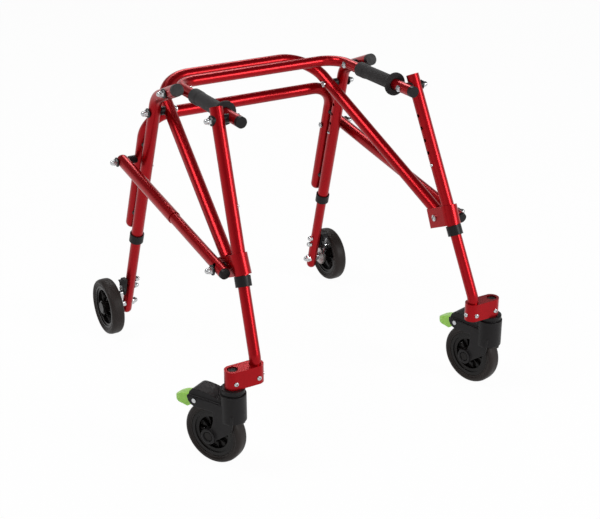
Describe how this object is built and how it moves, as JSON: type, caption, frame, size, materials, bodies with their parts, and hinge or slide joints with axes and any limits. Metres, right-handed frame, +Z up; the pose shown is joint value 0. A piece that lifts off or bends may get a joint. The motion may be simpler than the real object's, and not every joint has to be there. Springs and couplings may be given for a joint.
{
  "type": "posterior walker",
  "caption": "Folding tube-frame walker that stands behind its user, with swivel braked front casters, one-way rear wheels, height-adjustable legs and padded side handles.",
  "frame": {"origin": "on the floor in the centre plane, below the line of the rear axles", "axes": "+Z up, -Y the way the user walks (the open side), +X to the right seen from the open side's front"},
  "size_m": [0.6841, 0.7165, 0.6404],
  "materials": {
    "red_coat": "candy red powder coat",
    "black_plastic": "moulded black nylon",
    "bright_steel": "zinc-plated steel",
    "tyre": "solid rubber",
    "grip_foam": "closed-cell foam",
    "green_plastic": "moulded green nylon"
  },
  "bodies": {
    "front_frame": {"back_bow": "red_coat", "corner_brackets": "red_coat", "front_uprights": "red_coat", "handle_bow": "red_coat", "hand_grips": "grip_foam", "handle_plugs": "black_plastic", "front_collars": "black_plastic", "frame_bolts": "bright_steel", "frame_cap_nuts": "bright_steel", "frame_washers": "black_plastic"},
    "rear_frame": {"rear_legs": "red_coat", "lower_cross_bow": "red_coat", "rear_leg_caps": "black_plastic", "rear_collars": "black_plastic", "rear_spacers": "black_plastic", "strut_bolts": "bright_steel"},
    "left_strut_tube": {"left_strut_tube": "red_coat"},
    "left_strut_slider": {"left_strut_slider": "red_coat", "left_strut_plug": "black_plastic"},
    "left_strut_button": {"left_strut_button": "bright_steel"},
    "left_front_leg": {"left_front_leg": "red_coat", "left_caster_block": "red_coat", "left_caster_bolts": "bright_steel"},
    "left_front_button": {"left_front_button": "bright_steel"},
    "left_caster": {"left_caster_fork": "black_plastic", "left_caster_pins": "bright_steel"},
    "left_caster_wheel": {"left_caster_tyre": "tyre", "left_caster_rim": "black_plastic"},
    "left_brake_pedal": {"left_brake_pedal": "green_plastic"},
    "left_rear_foot": {"left_rear_foot": "red_coat", "left_axle_set": "bright_steel", "left_pawl_block": "black_plastic", "left_pawl_spring": "bright_steel"},
    "left_rear_button": {"left_rear_button": "bright_steel"},
    "left_rear_wheel": {"left_rear_tyre": "tyre", "left_rear_hub": "black_plastic", "left_ratchet": "bright_steel"},
    "left_pawl": {"left_pawl": "bright_steel"},
    "right_strut_tube": {"right_strut_tube": "red_coat"},
    "right_strut_slider": {"right_strut_slider": "red_coat", "right_strut_plug": "black_plastic"},
    "right_strut_button": {"right_strut_button": "bright_steel"},
    "right_front_leg": {"right_front_leg": "red_coat", "right_caster_block": "red_coat", "right_caster_bolts": "bright_steel"},
    "right_front_button": {"right_front_button": "bright_steel"},
    "right_caster": {"right_caster_fork": "black_plastic", "right_caster_pins": "bright_steel"},
    "right_caster_wheel": {"right_caster_tyre": "tyre", "right_caster_rim": "black_plastic"},
    "right_brake_pedal": {"right_brake_pedal": "green_plastic"},
    "right_rear_foot": {"right_rear_foot": "red_coat", "right_axle_set": "bright_steel", "right_pawl_block": "black_plastic", "right_pawl_spring": "bright_steel"},
    "right_rear_button": {"right_rear_button": "bright_steel"},
    "right_rear_wheel": {"right_rear_tyre": "tyre", "right_rear_hub": "black_plastic", "right_ratchet": "bright_steel"},
    "right_pawl": {"right_pawl": "bright_steel"}
  },
  "joints": [
    {"name": "fold", "type": "hinge", "parent": "front_frame", "child": "rear_frame", "pos_m": [0, -0.16141, 0.553], "axis": [-1, 0, 0], "range_deg": [0, 40], "deforming": ["left_strut_button", "right_strut_button"]},
    {"name": "left_strut_pivot", "type": "hinge", "parent": "rear_frame", "child": "left_strut_tube", "pos_m": [-0.2677, -0.0871, 0.433], "axis": [1, 0, 0], "range_deg": [0, 39.52]},
    {"name": "left_strut_slide", "type": "slide", "parent": "left_strut_tube", "child": "left_strut_slider", "axis": [0, 0.9872, 0.1592], "range_m": [0, 0.09677], "deforming": ["left_strut_button"]},
    {"name": "left_strut_button_press", "type": "slide", "parent": "left_strut_slider", "child": "left_strut_button", "axis": [0, -0.1592, 0.9872], "range_m": [0, 0.0045], "stiffness_N_per_m": 900},
    {"name": "left_front_height", "type": "slide", "parent": "front_frame", "child": "left_front_leg", "axis": [0.0665, 0.4177, 0.9061], "range_m": [0, 0.1016], "deforming": ["left_front_button"]},
    {"name": "left_front_button_press", "type": "slide", "parent": "left_front_leg", "child": "left_front_button", "axis": [-0.9978, 0.0279, 0.0604], "range_m": [0, 0.0045], "stiffness_N_per_m": 900},
    {"name": "left_caster_swivel", "type": "hinge", "parent": "left_front_leg", "child": "left_caster", "pos_m": [-0.29563, -0.628, 0.15], "axis": [0, 0, 1], "continuous": true},
    {"name": "left_caster_roll", "type": "hinge", "parent": "left_caster", "child": "left_caster_wheel", "pos_m": [-0.31488, -0.5918, 0.0625], "axis": [0.8829, 0.4695, 0], "continuous": true},
    {"name": "left_brake", "type": "hinge", "parent": "left_caster", "child": "left_brake_pedal", "pos_m": [-0.32943, -0.56443, 0.129], "axis": [-0.8829, -0.4695, 0], "range_deg": [0, 9]},
    {"name": "left_rear_height", "type": "slide", "parent": "rear_frame", "child": "left_rear_foot", "axis": [0.0398, -0.3129, 0.9489], "range_m": [0, 0.1016], "deforming": ["left_rear_button"]},
    {"name": "left_rear_button_press", "type": "slide", "parent": "left_rear_foot", "child": "left_rear_button", "axis": [-0.9992, -0.0125, 0.0378], "range_m": [0, 0.0045], "stiffness_N_per_m": 900},
    {"name": "left_rear_roll", "type": "hinge", "parent": "left_rear_foot", "child": "left_rear_wheel", "pos_m": [-0.29, 0, 0.0635], "axis": [1, 0, 0], "continuous": true},
    {"name": "left_pawl_swing", "type": "hinge", "parent": "left_rear_foot", "child": "left_pawl", "pos_m": [-0.267, -0.022, 0.1], "axis": [1, 0, 0], "range_deg": [0, 7]},
    {"name": "right_strut_pivot", "type": "hinge", "parent": "rear_frame", "child": "right_strut_tube", "pos_m": [0.2677, -0.0871, 0.433], "axis": [1, 0, 0], "range_deg": [0, 39.52]},
    {"name": "right_strut_slide", "type": "slide", "parent": "right_strut_tube", "child": "right_strut_slider", "axis": [0, 0.9872, 0.1592], "range_m": [0, 0.09677], "deforming": ["right_strut_button"]},
    {"name": "right_strut_button_press", "type": "slide", "parent": "right_strut_slider", "child": "right_strut_button", "axis": [0, -0.1592, 0.9872], "range_m": [0, 0.0045], "stiffness_N_per_m": 900},
    {"name": "right_front_height", "type": "slide", "parent": "front_frame", "child": "right_front_leg", "axis": [-0.0665, 0.4177, 0.9061], "range_m": [0, 0.1016], "deforming": ["right_front_button"]},
    {"name": "right_front_button_press", "type": "slide", "parent": "right_front_leg", "child": "right_front_button", "axis": [0.9978, 0.0279, 0.0604], "range_m": [0, 0.0045], "stiffness_N_per_m": 900},
    {"name": "right_caster_swivel", "type": "hinge", "parent": "right_front_leg", "child": "right_caster", "pos_m": [0.29563, -0.628, 0.15], "axis": [0, 0, 1], "continuous": true},
    {"name": "right_caster_roll", "type": "hinge", "parent": "right_caster", "child": "right_caster_wheel", "pos_m": [0.28571, -0.58822, 0.0625], "axis": [0.9703, 0.2419, 0], "continuous": true},
    {"name": "right_brake", "type": "hinge", "parent": "right_caster", "child": "right_brake_pedal", "pos_m": [0.27821, -0.55814, 0.129], "axis": [-0.9703, -0.2419, 0], "range_deg": [0, 9]},
    {"name": "right_rear_height", "type": "slide", "parent": "rear_frame", "child": "right_rear_foot", "axis": [-0.0398, -0.3129, 0.9489], "range_m": [0, 0.1016], "deforming": ["right_rear_button"]},
    {"name": "right_rear_button_press", "type": "slide", "parent": "right_rear_foot", "child": "right_rear_button", "axis": [0.9992, -0.0125, 0.0378], "range_m": [0, 0.0045], "stiffness_N_per_m": 900},
    {"name": "right_rear_roll", "type": "hinge", "parent": "right_rear_foot", "child": "right_rear_wheel", "pos_m": [0.29, 0, 0.0635], "axis": [1, 0, 0], "continuous": true},
    {"name": "right_pawl_swing", "type": "hinge", "parent": "right_rear_foot", "child": "right_pawl", "pos_m": [0.267, -0.022, 0.1], "axis": [1, 0, 0], "range_deg": [0, 7]}
  ],
  "couplings": [
    {"joint": "left_strut_pivot", "follows": "fold", "ratio": 0.9856},
    {"joint": "left_strut_slide", "follows": "fold", "m_per_rad": 0.13818},
    {"joint": "right_strut_pivot", "follows": "fold", "ratio": 0.9856},
    {"joint": "right_strut_slide", "follows": "fold", "m_per_rad": 0.13818}
  ]
}
